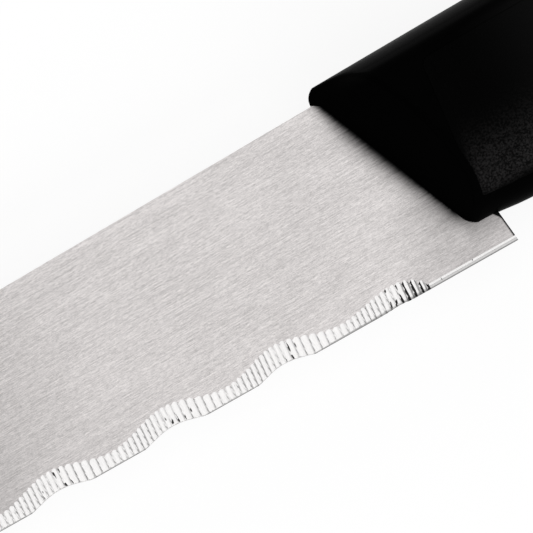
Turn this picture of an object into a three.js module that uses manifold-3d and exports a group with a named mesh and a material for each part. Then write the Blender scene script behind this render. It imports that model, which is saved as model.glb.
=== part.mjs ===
// Serrated carving knife: a stamped blade with a hidden tang, a moulded handle body that grips the tang
// through its holes, and a grained inlay on each side of the handle.
// Millimetres. While it is drawn, x runs from the point to the butt, y from the cutting edge to the spine and
// z out of the ground side of the blade, from where the spine enters the handle, half way through the blade.
import * as THREE from 'three';
import { mergeVertices } from 'three/addons/utils/BufferGeometryUtils.js';
import Module from 'manifold-3d';

// Blade sheet
const BLADE_LENGTH = 205; // heel corner to point
const BLADE_THICKNESS = 1.5;
const HEEL_DEPTH = 30.5; // spine to edge at the heel
const HEEL_SETBACK = 4.9; // heel corner behind the lower end of the handle's front
const HEEL_LEAN = 5; // degrees that the rear edge of the heel leans forward
const SWEEP_DEPTH = 28.4; // spine to edge where the edge starts to sweep up
const SWEEP_LENGTH = 85; // swept edge, along the blade
const SWEEP_START_EASE = 45; // how long the sweep keeps the line of the straight edge
const SWEEP_END_EASE = 30; // how long the sweep keeps its line into the point
const SWEEP_END_ANGLE = 30; // degrees between the edge and the blade at the point
const POINT_DROP = 11; // point below the line of the spine
const SPINE_FALL_LENGTH = 72; // part of the spine that curves down to the point
const SPINE_FALL_EASE = 40; // how long that part keeps the line of the spine

// Edge bevels and fluted waves
const BEVEL_WIDTH = 0.85;
const BEVEL_HEIGHT = 0.4;
const BACK_BEVEL_WIDTH = 0.5;
const BACK_BEVEL_HEIGHT = 0.3;
const GRIND_ANGLE = 27; // degrees between the ground face and the blade
const GRIND_DEEP = 3.75; // ground width at the middle of a wave
const GRIND_SHALLOW = 1.85; // ground width between two waves
const GRIND_FIRST_SHARE = 0.7; // the grind starts this much of its full width
const GRIND_GROW_LENGTH = 32; // and reaches full width after this length
const WAVE_PITCH = 18.1;
const FLUTES_PER_WAVE = 19;
const FLUTE_DEPTH = 0.2;
const FLUTE_STEPS = 4;
const SERRATION_START = 14; // plain heel before the first flute
const SERRATION_END = 12; // plain edge after the last flute
const FIRST_WAVE = 4.3; // first flute to the middle of the first wave
const RUN_IN = 4.5; // length over which the wheel enters and leaves the edge

// Tang
const TANG_END_COVER = 30; // plastic behind the end of the tang
const TANG_COVER_ABOVE = 6.6; // plastic over the tang at its root
const TANG_COVER_BELOW = 6.4; // plastic under the tang at its root
const TANG_TAPER = 1.6; // narrowing of each edge of the tang towards its end
const TANG_STEP = 9; // where the spine starts to step down to the tang
const TANG_STEP_RUN = 5;
const TANG_ROOT_RUN = 5; // length of the slope between the heel and the tang
const TANG_ROOT_DROP = 3; // depth of that slope
const TANG_HOLE_RADIUS = 2.4;
const TANG_HOLE_FIRST = 32;
const TANG_HOLE_MARGIN = 14; // last hole before the end of the tang
const TANG_HOLES = 3;

// Handle
const HANDLE_LENGTH = 128; // front at the spine to butt
const HANDLE_RISE = 2.2; // top of the handle above the spine
const HEEL_DROP = 4.85; // heel below the front of the handle
const FRONT_THICKNESS = 19.2;
const FRONT_RAKE = 22.3; // degrees that the front leans back towards the belly
const FRONT_SLOPE = 42.6; // degrees that the front falls back from the blade to each side
const STEP_LEAD = 2.5; // how far ahead of the heel the underside starts to step down
const STEP_RUN = 6.5; // length of that step
const STEP_DROP = 0.65;
const BELLY_AT = 42; // fullest part of the handle
const BELLY_DROP = 1.6; // belly below the front of the handle
const BELLY_THICKNESS = 19.6;
const WAIST_FROM_BUTT = 42;
const WAIST_RISE = 2.2; // waist above the front of the handle, on the underside
const WAIST_THICKNESS = 17.2;
const SWELL_FROM_BUTT = 14; // swell at the end of the handle
const SWELL_DROP = 1.6; // swell below the front of the handle, on the underside
const SWELL_THICKNESS = 19;
const BACK_EASE = 0.2; // fall of the top of the handle over the belly
const BACK_FALL = 2.6; // fall of the top of the handle over the swell
const BUTT_ROUND = 13;
const SHOULDER_ROUND = 2.8; // rounding of the front where it wraps over the spine
const SHOULDER_LEAD = 0.3; // how far that rounding starts ahead of the spine's entry
const CHEEK_ROUND = 2.6; // rounding of the lower front corner
const WIDEST_SHARE = 0.25; // how far down a section its widest point lies
const CROWN_FULLNESS = 1;
const CORNER_FULLNESS = 0.8;
const FLANK_FULLNESS = 0.45;
const KEEL_FULLNESS = 0.59;

// Grip inlays
const INLAY_DEPTH = 1.8;
const INLAY_SETBACK = 3.5; // lower front corner of an inlay behind the lower end of the handle's front
const INLAY_LEAN = 7; // degrees that the front of an inlay leans back towards the spine
const NOSE_BAND = 0.8; // least plastic between an inlay and the sloped front
const INLAY_BACK_MARGIN = 15; // smooth plastic left at the butt
const INLAY_TOP_MARGIN = 4.4; // smooth strip along the top
const INLAY_LOW_MARGIN = 3.3; // smooth strip along the underside
const INLAY_CORNER = 1.4;
const LUG_RADIUS = 2.6;
const LUG_COVER = 1.6; // plastic between a lug and the tang

const FIT_GAP = 0.3; // clearance between pieces that are moulded round each other
const MERGE_DISTANCE = 1e-4; // corners closer than this are one
const OVERSHOOT = 2; // how far a cutting shape reaches past what it cuts
const FAR = 60; // half size of a shape that cuts right across the handle
const FRONT_REACH = 5; // how far the uncut handle starts ahead of the spine's entry

// Fineness of the round shapes
const CURVE_STEPS = 8;
const BAR_SIDES = 20;
const SWEEP_STEPS = 24;
const CROWN_STEPS = 6;
const FLANK_STEPS = 10;
const HANDLE_STEPS = 11;
const BUTT_STEPS = 5;
const BUTT_LAST_TURN = 83; // degrees: the butt ends in a small flat
const INLAY_STEPS = 9;

const wasm = await Module();
wasm.setup();

// Solids

function solidOf(geometry) {
  geometry.deleteAttribute('normal');
  geometry.deleteAttribute('uv');
  const merged = mergeVertices(geometry, MERGE_DISTANCE);
  const vertProperties = new Float32Array(merged.attributes.position.array);
  const triVerts = new Uint32Array(merged.index.array);
  return new wasm.Manifold(new wasm.Mesh({ numProp: 3, vertProperties, triVerts }));
}

function geometryOf(solid) {
  const mesh = solid.getMesh();
  const geometry = new THREE.BufferGeometry();
  geometry.setAttribute('position', new THREE.BufferAttribute(mesh.vertProperties, mesh.numProp));
  geometry.setIndex(new THREE.BufferAttribute(mesh.triVerts, 1));
  geometry.computeVertexNormals();
  return geometry;
}

// A plate of the given outline between two heights.
function plate(shape, low, high) {
  const options = { depth: high - low, bevelEnabled: false, curveSegments: CURVE_STEPS };
  const geometry = new THREE.ExtrudeGeometry(shape, options);
  geometry.translate(0, 0, low);
  return solidOf(geometry);
}

// A round bar along z.
function bar(x, y, radius, low, high) {
  const geometry = new THREE.CylinderGeometry(radius, radius, high - low, BAR_SIDES);
  geometry.rotateX(Math.PI / 2);
  geometry.translate(x, y, (low + high) / 2);
  return solidOf(geometry);
}

// A solid skinned over rings of equally many points, with its two ends closed from their middles.
function skin(rings) {
  const count = rings[0].length;
  const points = rings.flat();
  const triangles = [];
  for (let ring = 0; ring + 1 < rings.length; ring += 1) {
    for (let i = 0; i < count; i += 1) {
      const a = ring * count + i;
      const b = ring * count + ((i + 1) % count);
      triangles.push(a, b, a + count, b, b + count, a + count);
    }
  }
  const closeEnd = (ring, first, reversed) => {
    const middle = new THREE.Vector3();
    ring.forEach((point) => middle.addScaledVector(point, 1 / count));
    const hub = points.push(middle) - 1;
    for (let i = 0; i < count; i += 1) {
      const a = first + i;
      const b = first + ((i + 1) % count);
      triangles.push(...(reversed ? [hub, b, a] : [hub, a, b]));
    }
  };
  const lastFirst = (rings.length - 1) * count;
  closeEnd(rings[0], 0, true);
  closeEnd(rings[rings.length - 1], lastFirst, false);
  const geometry = new THREE.BufferGeometry().setFromPoints(points);
  geometry.setIndex(volumeOf(points, triangles) > 0 ? triangles : triangles.reverse());
  return solidOf(geometry);
}

// Six times the volume inside a closed mesh: negative if its faces point inwards.
function volumeOf(points, triangles) {
  const normal = new THREE.Vector3();
  let total = 0;
  for (let i = 0; i < triangles.length; i += 3) {
    const [a, b, c] = triangles.slice(i, i + 3).map((index) => points[index]);
    total += a.dot(normal.crossVectors(b, c));
  }
  return total;
}

// Blade outline

const radians = THREE.MathUtils.degToRad;
const rakeRun = Math.tan(radians(FRONT_RAKE));
const leanRun = Math.tan(radians(HEEL_LEAN));
const frontBottom = HEEL_DROP - HEEL_DEPTH;
const frontFoot = -frontBottom * rakeRun;
const heel = new THREE.Vector2(frontFoot + HEEL_SETBACK, -HEEL_DEPTH);
const point = new THREE.Vector2(heel.x - BLADE_LENGTH, -POINT_DROP);
const sweepStart = new THREE.Vector2(point.x + SWEEP_LENGTH, -SWEEP_DEPTH);
const spineFall = new THREE.Vector2(point.x + SPINE_FALL_LENGTH, 0);

function sweepCurve() {
  const along = sweepStart.clone().sub(heel).setLength(SWEEP_START_EASE);
  const endAngle = radians(SWEEP_END_ANGLE);
  const back = new THREE.Vector2(Math.cos(endAngle), -Math.sin(endAngle)).multiplyScalar(SWEEP_END_EASE);
  const leave = sweepStart.clone().add(along);
  const arrive = point.clone().add(back);
  return new THREE.CubicBezierCurve(sweepStart, leave, arrive, point);
}

const sweep = sweepCurve();
const edge = new THREE.CurvePath();
edge.add(new THREE.LineCurve(heel, sweepStart));
edge.add(sweep);
const edgeLength = edge.getLength();
const straightLength = heel.distanceTo(sweepStart);

// A place on the edge, the given length from the heel, with the direction from there into the blade.
function edgeAt(length) {
  const inside = THREE.MathUtils.clamp(length, 0, edgeLength);
  const along = edge.getTangent(inside / edgeLength);
  const place = edge.getPoint(inside / edgeLength).addScaledVector(along, length - inside);
  return { place, inward: new THREE.Vector2(along.y, -along.x) };
}

const seamGap = 2 * FIT_GAP;
const seamLow = frontBottom - seamGap;
const tangTop = HANDLE_RISE - TANG_COVER_ABOVE;
const tangLow = frontBottom + TANG_COVER_BELOW;
const tangMiddle = (tangTop + tangLow) / 2;
const tangRoot = tangLow - TANG_ROOT_DROP;
const tangEnd = HANDLE_LENGTH - TANG_END_COVER;

// Numbers spread evenly from first to last.
function spread(first, last, steps) {
  return Array.from({ length: steps + 1 }, (_, i) => first + ((last - first) * i) / steps);
}

const tangHoles = spread(TANG_HOLE_FIRST, tangEnd - TANG_HOLE_MARGIN, TANG_HOLES - 1);
const lugs = tangHoles.slice(1).map((x, i) => (x + tangHoles[i]) / 2);
const lugFloor = BLADE_THICKNESS / 2 + 2 * FIT_GAP + LUG_COVER;

// Rear edge of the heel at a given height.
function heelX(y) {
  return heel.x - leanRun * (y + HEEL_DEPTH);
}

// The part of the sheet that shows: its rear line follows the front of the handle, just clear of it.
function bladeShape() {
  const shape = new THREE.Shape();
  shape.moveTo(point.x, point.y);
  sweep.getSpacedPoints(SWEEP_STEPS).reverse().slice(1).forEach((p) => shape.lineTo(p.x, p.y));
  shape.lineTo(heel.x, heel.y);
  shape.lineTo(heelX(seamLow), seamLow);
  shape.lineTo(-seamLow * rakeRun - seamGap, seamLow);
  shape.lineTo(-seamGap, 0);
  shape.lineTo(spineFall.x, spineFall.y);
  shape.quadraticCurveTo(spineFall.x - SPINE_FALL_EASE, 0, point.x, point.y);
  return shape;
}

// Outline of the tang from the spine round to the back of the heel, grown by a gap.
function drawTang(shape, gap) {
  const endRadius = (tangTop - tangLow) / 2 - TANG_TAPER;
  const endX = tangEnd - endRadius;
  shape.lineTo(TANG_STEP + gap, gap);
  shape.lineTo(TANG_STEP + TANG_STEP_RUN + gap, tangTop + gap);
  shape.lineTo(endX, tangMiddle + endRadius + gap);
  shape.absarc(endX, tangMiddle, endRadius + gap, Math.PI / 2, -Math.PI / 2, true);
  shape.lineTo(heelX(tangRoot) + TANG_ROOT_RUN + gap, tangLow - gap);
  shape.lineTo(heelX(tangRoot) + gap, tangRoot - gap);
}

function tangShape() {
  const shape = new THREE.Shape();
  shape.moveTo(-seamGap, 0);
  drawTang(shape, 0);
  shape.lineTo(heelX(seamLow), seamLow);
  shape.lineTo(-seamLow * rakeRun - seamGap, seamLow);
  for (const x of tangHoles) {
    const hole = new THREE.Path();
    hole.absarc(x, tangMiddle, TANG_HOLE_RADIUS, 0, 2 * Math.PI, false);
    shape.holes.push(hole);
  }
  return shape;
}

// Blade grinding

// The metal above a face that climbs from the edge into the blade. At each length along the edge, profile
// gives the width at which the face reaches the surface and how much deeper it lies. Side is 1 or -1 for the
// two faces of the blade.
function edgeCut(lengths, slope, reach, profile, side) {
  const surface = BLADE_THICKNESS / 2;
  const lid = surface + reach * slope + OVERSHOOT;
  const rings = lengths.map((length) => {
    const { place, inward } = edgeAt(length);
    const { width, depth } = profile(length);
    const corner = (n, z) => {
      const p = place.clone().addScaledVector(inward, n);
      return new THREE.Vector3(p.x, p.y, side * z);
    };
    const height = (n) => surface + (n - width) * slope - depth;
    const outside = -OVERSHOOT;
    const face = [corner(outside, height(outside)), corner(reach, height(reach))];
    return [...face, corner(reach, lid), corner(outside, lid)];
  });
  return skin(rings);
}

function bevelCut(width, height, side) {
  const lengths = [-OVERSHOOT, ...spread(straightLength, edgeLength, SWEEP_STEPS), edgeLength + OVERSHOOT];
  return edgeCut(lengths, height / width, width + OVERSHOOT, () => ({ width, depth: 0 }), side);
}

// Width of the ground face along the edge: waves that grow to their full size and run out at both ends.
function grindWidth(length, end) {
  const fromStart = length - SERRATION_START;
  const wave = 0.5 + 0.5 * Math.cos((2 * Math.PI * (fromStart - FIRST_WAVE)) / WAVE_PITCH);
  const full = GRIND_SHALLOW + (GRIND_DEEP - GRIND_SHALLOW) * wave;
  const grown = Math.min(1, fromStart / GRIND_GROW_LENGTH);
  const share = GRIND_FIRST_SHARE + (1 - GRIND_FIRST_SHARE) * grown;
  const fromEnd = Math.min(1, Math.min(fromStart, end - length) / RUN_IN);
  return full * share * Math.sqrt(1 - (1 - fromEnd) ** 2);
}

function fluteCut() {
  const pitch = WAVE_PITCH / FLUTES_PER_WAVE;
  const flutes = Math.floor((edgeLength - SERRATION_START - SERRATION_END) / pitch);
  const end = SERRATION_START + flutes * pitch;
  const lengths = spread(SERRATION_START, end, flutes * FLUTE_STEPS);
  const profile = (length) => {
    const phase = ((length - SERRATION_START) / pitch) % 1;
    const depth = 4 * FLUTE_DEPTH * phase * (1 - phase);
    return { width: grindWidth(length, end), depth };
  };
  return edgeCut(lengths, Math.tan(radians(GRIND_ANGLE)), GRIND_DEEP + OVERSHOOT, profile, 1);
}

function makeBlade() {
  const half = BLADE_THICKNESS / 2;
  const blade = plate(bladeShape(), -half, half)
    .subtract(bevelCut(BEVEL_WIDTH, BEVEL_HEIGHT, 1))
    .subtract(bevelCut(BACK_BEVEL_WIDTH, BACK_BEVEL_HEIGHT, -1))
    .subtract(fluteCut());
  return blade.add(plate(tangShape(), -half, half));
}

// Handle form

// A smooth line through a few places along the handle, level before the first and after the last.
function lineThrough(knots) {
  const places = knots.map((knot) => knot[0]);
  const values = knots.map((knot) => knot[1]);
  const line = new THREE.CubicInterpolant(places, values, 1);
  return (x) => line.evaluate(x)[0];
}

const waistAt = HANDLE_LENGTH - WAIST_FROM_BUTT;
const swellAt = HANDLE_LENGTH - SWELL_FROM_BUTT;
const topAt = lineThrough([
  [0, HANDLE_RISE],
  [BELLY_AT, HANDLE_RISE - BACK_EASE],
  [swellAt, HANDLE_RISE - BACK_FALL],
]);
const stepStart = heel.x - STEP_LEAD;
const stepEnd = stepStart + STEP_RUN;
const lowAt = lineThrough([
  [stepStart, frontBottom],
  [stepEnd, frontBottom - STEP_DROP],
  [BELLY_AT, frontBottom - BELLY_DROP],
  [waistAt, frontBottom + WAIST_RISE],
  [swellAt, frontBottom - SWELL_DROP],
]);
const thicknessAt = lineThrough([
  [heel.x, FRONT_THICKNESS],
  [BELLY_AT, BELLY_THICKNESS],
  [waistAt, WAIST_THICKNESS],
  [swellAt, SWELL_THICKNESS],
]);

// One side of an egg-shaped section, from the top of the handle round to its underside: x is the half width.
function sectionSide(top, low, half) {
  const widest = top - WIDEST_SHARE * (top - low);
  const crown = new THREE.CubicBezierCurve(
    new THREE.Vector2(0, top),
    new THREE.Vector2(CROWN_FULLNESS * half, top),
    new THREE.Vector2(half, widest + CORNER_FULLNESS * (top - widest)),
    new THREE.Vector2(half, widest),
  );
  const flank = new THREE.CubicBezierCurve(
    new THREE.Vector2(half, widest),
    new THREE.Vector2(half, widest - FLANK_FULLNESS * (widest - low)),
    new THREE.Vector2(KEEL_FULLNESS * half, low),
    new THREE.Vector2(0, low),
  );
  return [...crown.getPoints(CROWN_STEPS), ...flank.getPoints(FLANK_STEPS).slice(1)];
}

// A closed section at x, drawn in by an inset and shrunk about its middle by a scale.
function handleRing(x, sectionX, inset, scale) {
  const top = topAt(sectionX) - inset;
  const low = lowAt(sectionX) + inset;
  const middle = (top + low) / 2;
  const side = sectionSide(top, low, thicknessAt(sectionX) / 2 - inset);
  const otherSide = side.slice(1, -1).reverse().map((p) => new THREE.Vector2(-p.x, p.y));
  const place = (p) => new THREE.Vector3(x, middle + (p.y - middle) * scale, p.x * scale);
  return [...side, ...otherSide].map(place);
}

// The whole handle before its front is cut, drawn in by an inset.
function handleForm(inset) {
  const buttStart = HANDLE_LENGTH - BUTT_ROUND;
  const rings = [handleRing(-FRONT_REACH, 0, inset, 1), handleRing(stepStart, stepStart, inset, 1)];
  spread(stepEnd, buttStart, HANDLE_STEPS).forEach((x) => rings.push(handleRing(x, x, inset, 1)));
  const lastTurn = radians(BUTT_LAST_TURN);
  for (const turn of spread(0, lastTurn, BUTT_STEPS).slice(1)) {
    const x = buttStart + (BUTT_ROUND * Math.sin(turn)) / Math.sin(lastTurn);
    rings.push(handleRing(x, buttStart, inset, Math.cos(turn)));
  }
  return skin(rings);
}

// Everything behind the two sloped faces at the front of the handle, moved back by the given amount.
function frontWedge(behind) {
  const reach = 2 * HANDLE_LENGTH;
  const run = Math.tan(radians(FRONT_SLOPE));
  const offset = BLADE_THICKNESS / 2;
  const shape = new THREE.Shape();
  shape.moveTo(-offset * run, 0);
  shape.lineTo((FAR - offset) * run, -FAR);
  shape.lineTo(reach, -FAR);
  shape.lineTo(reach, FAR);
  shape.lineTo((FAR - offset) * run, FAR);
  const geometry = new THREE.ExtrudeGeometry(shape, { depth: 2 * reach, bevelEnabled: false });
  geometry.translate(behind, 0, -reach);
  const rake = radians(FRONT_RAKE);
  const back = new THREE.Vector3(Math.cos(rake), Math.sin(rake), 0);
  const across = new THREE.Vector3(0, 0, 1);
  const down = new THREE.Vector3(Math.sin(rake), -Math.cos(rake), 0);
  geometry.applyMatrix4(new THREE.Matrix4().makeBasis(back, across, down));
  return solidOf(geometry);
}

// What is taken off to round the front where it wraps over the spine.
function shoulderCut() {
  const top = topAt(SHOULDER_ROUND);
  const shape = new THREE.Shape();
  shape.moveTo(-SHOULDER_LEAD, 0);
  shape.quadraticCurveTo(SHOULDER_LEAD, top, SHOULDER_ROUND, top);
  shape.lineTo(SHOULDER_ROUND, top + OVERSHOOT);
  shape.lineTo(-FRONT_REACH - OVERSHOOT, top + OVERSHOOT);
  shape.lineTo(-FRONT_REACH - OVERSHOOT, 0);
  return plate(shape, -FAR, FAR);
}

// What is taken off to round the lower front corner beside the blade.
function cheekCut() {
  const startY = frontBottom + CHEEK_ROUND;
  const startX = -startY * rakeRun;
  const shape = new THREE.Shape();
  shape.moveTo(startX, startY);
  shape.quadraticCurveTo(frontFoot, frontBottom, frontFoot + CHEEK_ROUND, frontBottom);
  shape.lineTo(frontFoot + CHEEK_ROUND, frontBottom - OVERSHOOT);
  shape.lineTo(startX - FRONT_REACH, frontBottom - OVERSHOOT);
  shape.lineTo(startX - FRONT_REACH, startY);
  return plate(shape, -FAR, FAR);
}

// The slot for the blade and the pocket for the tang, open at the front and below the heel.
function tangPocket() {
  const half = BLADE_THICKNESS / 2 + FIT_GAP;
  const floor = -HEEL_DEPTH - OVERSHOOT;
  const shape = new THREE.Shape();
  shape.moveTo(-FRONT_REACH - OVERSHOOT, FIT_GAP);
  drawTang(shape, FIT_GAP);
  shape.lineTo(heelX(floor) + FIT_GAP, floor);
  shape.lineTo(-FRONT_REACH - OVERSHOOT, floor);
  return plate(shape, -half, half);
}

// Grip inlays

// Outline of an inlay, seen from the side of the knife and grown by a gap.
function inlayShape(gap) {
  const back = HANDLE_LENGTH - INLAY_BACK_MARGIN + gap;
  const upper = (x) => topAt(x) - INLAY_TOP_MARGIN + gap;
  const lower = (x) => lowAt(x) + INLAY_LOW_MARGIN - gap;
  const foot = frontFoot + INLAY_SETBACK - gap;
  const lean = Math.tan(radians(INLAY_LEAN));
  const front = (y) => foot + (y - lower(foot)) * lean;
  const head = front(upper(foot));
  const above = spread(head + INLAY_CORNER, back - INLAY_CORNER, INLAY_STEPS);
  const below = spread(back - INLAY_CORNER, foot + INLAY_CORNER, INLAY_STEPS);
  const footTop = lower(foot) + INLAY_CORNER;
  const headLow = upper(head) - INLAY_CORNER;
  const shape = new THREE.Shape();
  shape.moveTo(front(footTop), footTop);
  shape.lineTo(front(headLow), headLow);
  shape.quadraticCurveTo(head, upper(head), above[0], upper(above[0]));
  above.slice(1).forEach((x) => shape.lineTo(x, upper(x)));
  shape.quadraticCurveTo(back, upper(back), back, upper(back) - INLAY_CORNER);
  shape.lineTo(back, lower(back) + INLAY_CORNER);
  shape.quadraticCurveTo(back, lower(back), below[0], lower(below[0]));
  below.slice(1).forEach((x) => shape.lineTo(x, lower(x)));
  shape.quadraticCurveTo(foot, lower(foot), front(footTop), footTop);
  return shape;
}

// All that lies within the outline of the inlays and far enough behind the front, grown by a gap.
function inlayBlock(gap) {
  return plate(inlayShape(gap), -FAR, FAR).intersect(frontWedge(NOSE_BAND - gap));
}

function makeHandleBody() {
  const half = BLADE_THICKNESS / 2;
  const recess = inlayBlock(FIT_GAP).subtract(handleForm(INLAY_DEPTH + FIT_GAP));
  let body = handleForm(0).intersect(frontWedge(0)).subtract(shoulderCut()).subtract(cheekCut());
  body = body.subtract(recess).subtract(tangPocket());
  for (const x of tangHoles) {
    const reach = half + OVERSHOOT;
    body = body.add(bar(x, tangMiddle, TANG_HOLE_RADIUS - FIT_GAP, -reach, reach));
  }
  for (const x of lugs) {
    const floor = lugFloor - FIT_GAP;
    body = body.subtract(bar(x, tangMiddle, LUG_RADIUS + FIT_GAP, floor, FAR));
    body = body.subtract(bar(x, tangMiddle, LUG_RADIUS + FIT_GAP, -FAR, -floor));
  }
  return body;
}

// The inlay on one side, which is 1 or -1, with its lugs.
function makeInlay(side) {
  const between = (low, high) => (side > 0 ? [low, high] : [-high, -low]);
  const panel = plate(inlayShape(0), ...between(0, FAR)).intersect(inlayBlock(0));
  let inlay = panel.intersect(handleForm(0)).subtract(handleForm(INLAY_DEPTH));
  for (const x of lugs) {
    const lug = bar(x, tangMiddle, LUG_RADIUS, ...between(lugFloor, FAR));
    inlay = inlay.add(lug.intersect(handleForm(INLAY_DEPTH / 2)));
  }
  return inlay;
}

// Assembly

function part(name, solid, color, roughness, metalness) {
  const material = new THREE.MeshStandardMaterial({ color, roughness, metalness });
  const mesh = new THREE.Mesh(geometryOf(solid), material);
  mesh.name = name;
  return mesh;
}

const knife = new THREE.Group();
knife.add(part('blade', makeBlade(), 0xcfcac8, 0.34, 1));
knife.add(part('handle_body', makeHandleBody(), 0x0a0a0b, 0.36, 0));
knife.add(part('grip_inlay_left', makeInlay(1), 0x101011, 0.58, 0));
knife.add(part('grip_inlay_right', makeInlay(-1), 0x101011, 0.58, 0));

// The knife lies on its side, centred over the origin and resting on z = 0.
const box = new THREE.Box3().setFromObject(knife);
const middle = box.getCenter(new THREE.Vector3());
knife.position.set(-middle.x, -middle.y, -box.min.z);

const carvingKnife = new THREE.Group();
carvingKnife.add(knife);
export default carvingKnife;
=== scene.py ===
# %% [markdown]
# # A serrated carving knife
# The knife lies on its side with the fluted face of its blade up. Its measured solids are loaded first
# and stay where they are. Each piece that is modelled below takes the place of one of them, with rounder
# shapes and real finishes: a steel blade, a smooth black handle moulding and two grained grip inlays.

# %% Load the measured knife
import math
from bisect import bisect_right

import bmesh
import bpy
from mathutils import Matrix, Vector
from mathutils.geometry import interpolate_bezier


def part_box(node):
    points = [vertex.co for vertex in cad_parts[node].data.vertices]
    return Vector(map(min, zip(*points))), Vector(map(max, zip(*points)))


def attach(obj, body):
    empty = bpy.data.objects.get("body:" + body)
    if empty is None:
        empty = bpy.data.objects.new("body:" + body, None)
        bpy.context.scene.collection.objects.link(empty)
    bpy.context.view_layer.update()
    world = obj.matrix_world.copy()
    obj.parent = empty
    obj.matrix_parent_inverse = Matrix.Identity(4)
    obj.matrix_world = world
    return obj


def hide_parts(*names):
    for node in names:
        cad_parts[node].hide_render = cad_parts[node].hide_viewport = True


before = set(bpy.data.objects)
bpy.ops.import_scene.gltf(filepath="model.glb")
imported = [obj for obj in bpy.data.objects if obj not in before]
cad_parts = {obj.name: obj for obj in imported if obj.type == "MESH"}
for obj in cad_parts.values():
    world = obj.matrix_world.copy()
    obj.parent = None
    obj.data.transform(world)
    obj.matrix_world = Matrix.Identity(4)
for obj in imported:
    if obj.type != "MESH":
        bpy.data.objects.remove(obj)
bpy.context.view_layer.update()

# %% [markdown]
# A knife is drawn from the place where its spine goes into the handle, half way through the steel, in
# millimetres. x runs back to the butt, y up from the edge to the spine and z out of the fluted face. The
# helper at() turns a place on that drawing into a place in the scene, so every size below can be read off
# a ruler.

# %% Find the drawing's origin
MM = 0.001
HANDLE_LENGTH = 128
BLADE_THICKNESS = 1.5
HALF_SHEET = BLADE_THICKNESS / 2

blade_low, blade_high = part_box("blade")
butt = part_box("handle_body")[1].x
drawing_origin = Vector((butt - HANDLE_LENGTH * MM, blade_high.y, (blade_low.z + blade_high.z) / 2))


def at(x, y, z=0):
    """A place on the drawing, given in millimetres, as a place in the scene."""
    return drawing_origin + MM * Vector((x, y, z))


def spread(first, last, steps):
    """Numbers evenly spaced from first to last."""
    return [first + (last - first) * i / steps for i in range(steps + 1)]


print("drawing origin", [round(x, 5) for x in drawing_origin])

# %% [markdown]
# Blender's operators act on what is selected, so a few helpers do what a hand on the mouse would: make
# one object active, go into edit mode with nothing selected, and pick parts of the mesh by their place.

# %% Helpers for picking and editing
SAME_PLACE = 0.01
MERGE_DISTANCE = 0.001


def take(piece):
    bpy.ops.object.select_all(action="DESELECT")
    bpy.context.view_layer.objects.active = piece
    piece.select_set(True)


def start_edit(piece, select_mode="VERT"):
    take(piece)
    bpy.ops.object.mode_set(mode="EDIT")
    bpy.ops.mesh.select_mode(type=select_mode)
    bpy.ops.mesh.select_all(action="DESELECT")


def end_edit():
    bpy.ops.object.mode_set(mode="OBJECT")


def is_at(corner_place, place):
    return (corner_place - place).length < SAME_PLACE * MM


def pick_corners(piece, wanted):
    mesh = bmesh.from_edit_mesh(piece.data)
    for corner in mesh.verts:
        corner.select_set(wanted(corner.co))
    mesh.select_flush(True)
    bmesh.update_edit_mesh(piece.data)


def pick_edges(piece, wanted):
    mesh = bmesh.from_edit_mesh(piece.data)
    for edge in mesh.edges:
        edge.select_set(wanted(edge))
    bmesh.update_edit_mesh(piece.data)
    return sum(edge.select for edge in mesh.edges)


def face_outwards():
    bpy.ops.mesh.select_all(action="SELECT")
    bpy.ops.mesh.remove_doubles(threshold=MERGE_DISTANCE * MM)
    bpy.ops.mesh.normals_make_consistent(inside=False)


bpy.ops.object.select_all(action="DESELECT")
print("selected after loading:", len(bpy.context.selected_objects))

# %% [markdown]
# The next helpers do what is done again and again to whole pieces: name a new primitive, copy a piece
# with its own mesh, apply a modifier, cut one piece with another, round edges with a bevel, and add a
# round bar that serves as a punch or a lug.

# %% Helpers for whole pieces
BAR_SIDES = 48
ROUND_PROFILE = 0.5


def new_piece(name):
    """Names the primitive that was just added and puts its place into its mesh."""
    piece = bpy.context.object
    piece.name = name
    piece.data.name = name
    bpy.ops.object.transform_apply(location=True, rotation=True, scale=True)
    return piece


def copy_of(piece, name):
    made = piece.copy()
    made.data = piece.data.copy()
    made.name = name
    bpy.context.collection.objects.link(made)
    return made


def apply_modifier(piece, kind, **settings):
    take(piece)
    modifier = piece.modifiers.new(kind.lower(), kind)
    for setting, value in settings.items():
        setattr(modifier, setting, value)
    bpy.ops.object.modifier_apply(modifier=modifier.name)


def combine(piece, operation, tool, materials="INDEX"):
    """Joins, cuts or trims a piece with a tool, which is used up.

    TRANSFER leaves the tool's finish on its cut.
    """
    settings = {"operation": operation, "solver": "EXACT", "object": tool, "material_mode": materials}
    apply_modifier(piece, "BOOLEAN", **settings)
    bpy.data.objects.remove(tool)


def round_edges(radius, segments):
    """Bevels the edges that are selected in edit mode."""
    bpy.ops.mesh.bevel(offset=radius * MM, segments=segments, profile=ROUND_PROFILE, affect="EDGES")


def add_bar(name, x, y, radius, low, high):
    """A round bar along z, for holes and lugs."""
    bpy.ops.object.select_all(action="DESELECT")
    middle = at(x, y, (low + high) / 2)
    sizes = {"radius": radius * MM, "depth": (high - low) * MM}
    bpy.ops.mesh.primitive_cylinder_add(vertices=BAR_SIDES, location=middle, **sizes)
    return new_piece(name)


# %% [markdown]
# The cutting edge sets every shape on the blade: a straight run from the heel, then a sweep up to the
# point. It could be a curve object, but grinding needs its length, so it is kept as a row of points with
# their distances from the heel. edge_at() gives a place on it and the direction that goes from there into
# the steel.

# %% The line of the cutting edge
HEEL_DEPTH = 30.5
HEEL_SETBACK = 4.9
HEEL_DROP = 4.85
HEEL_LEAN = math.radians(5)
FRONT_RAKE = math.radians(22.3)
BLADE_LENGTH = 205
POINT_DROP = 11
SWEEP_LENGTH, SWEEP_DEPTH = 85, 28.4
SWEEP_START_EASE, SWEEP_END_EASE = 45, 30
SWEEP_END_ANGLE = math.radians(30)
SWEEP_POINTS = 121
EDGE_PROBE = 0.5

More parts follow.
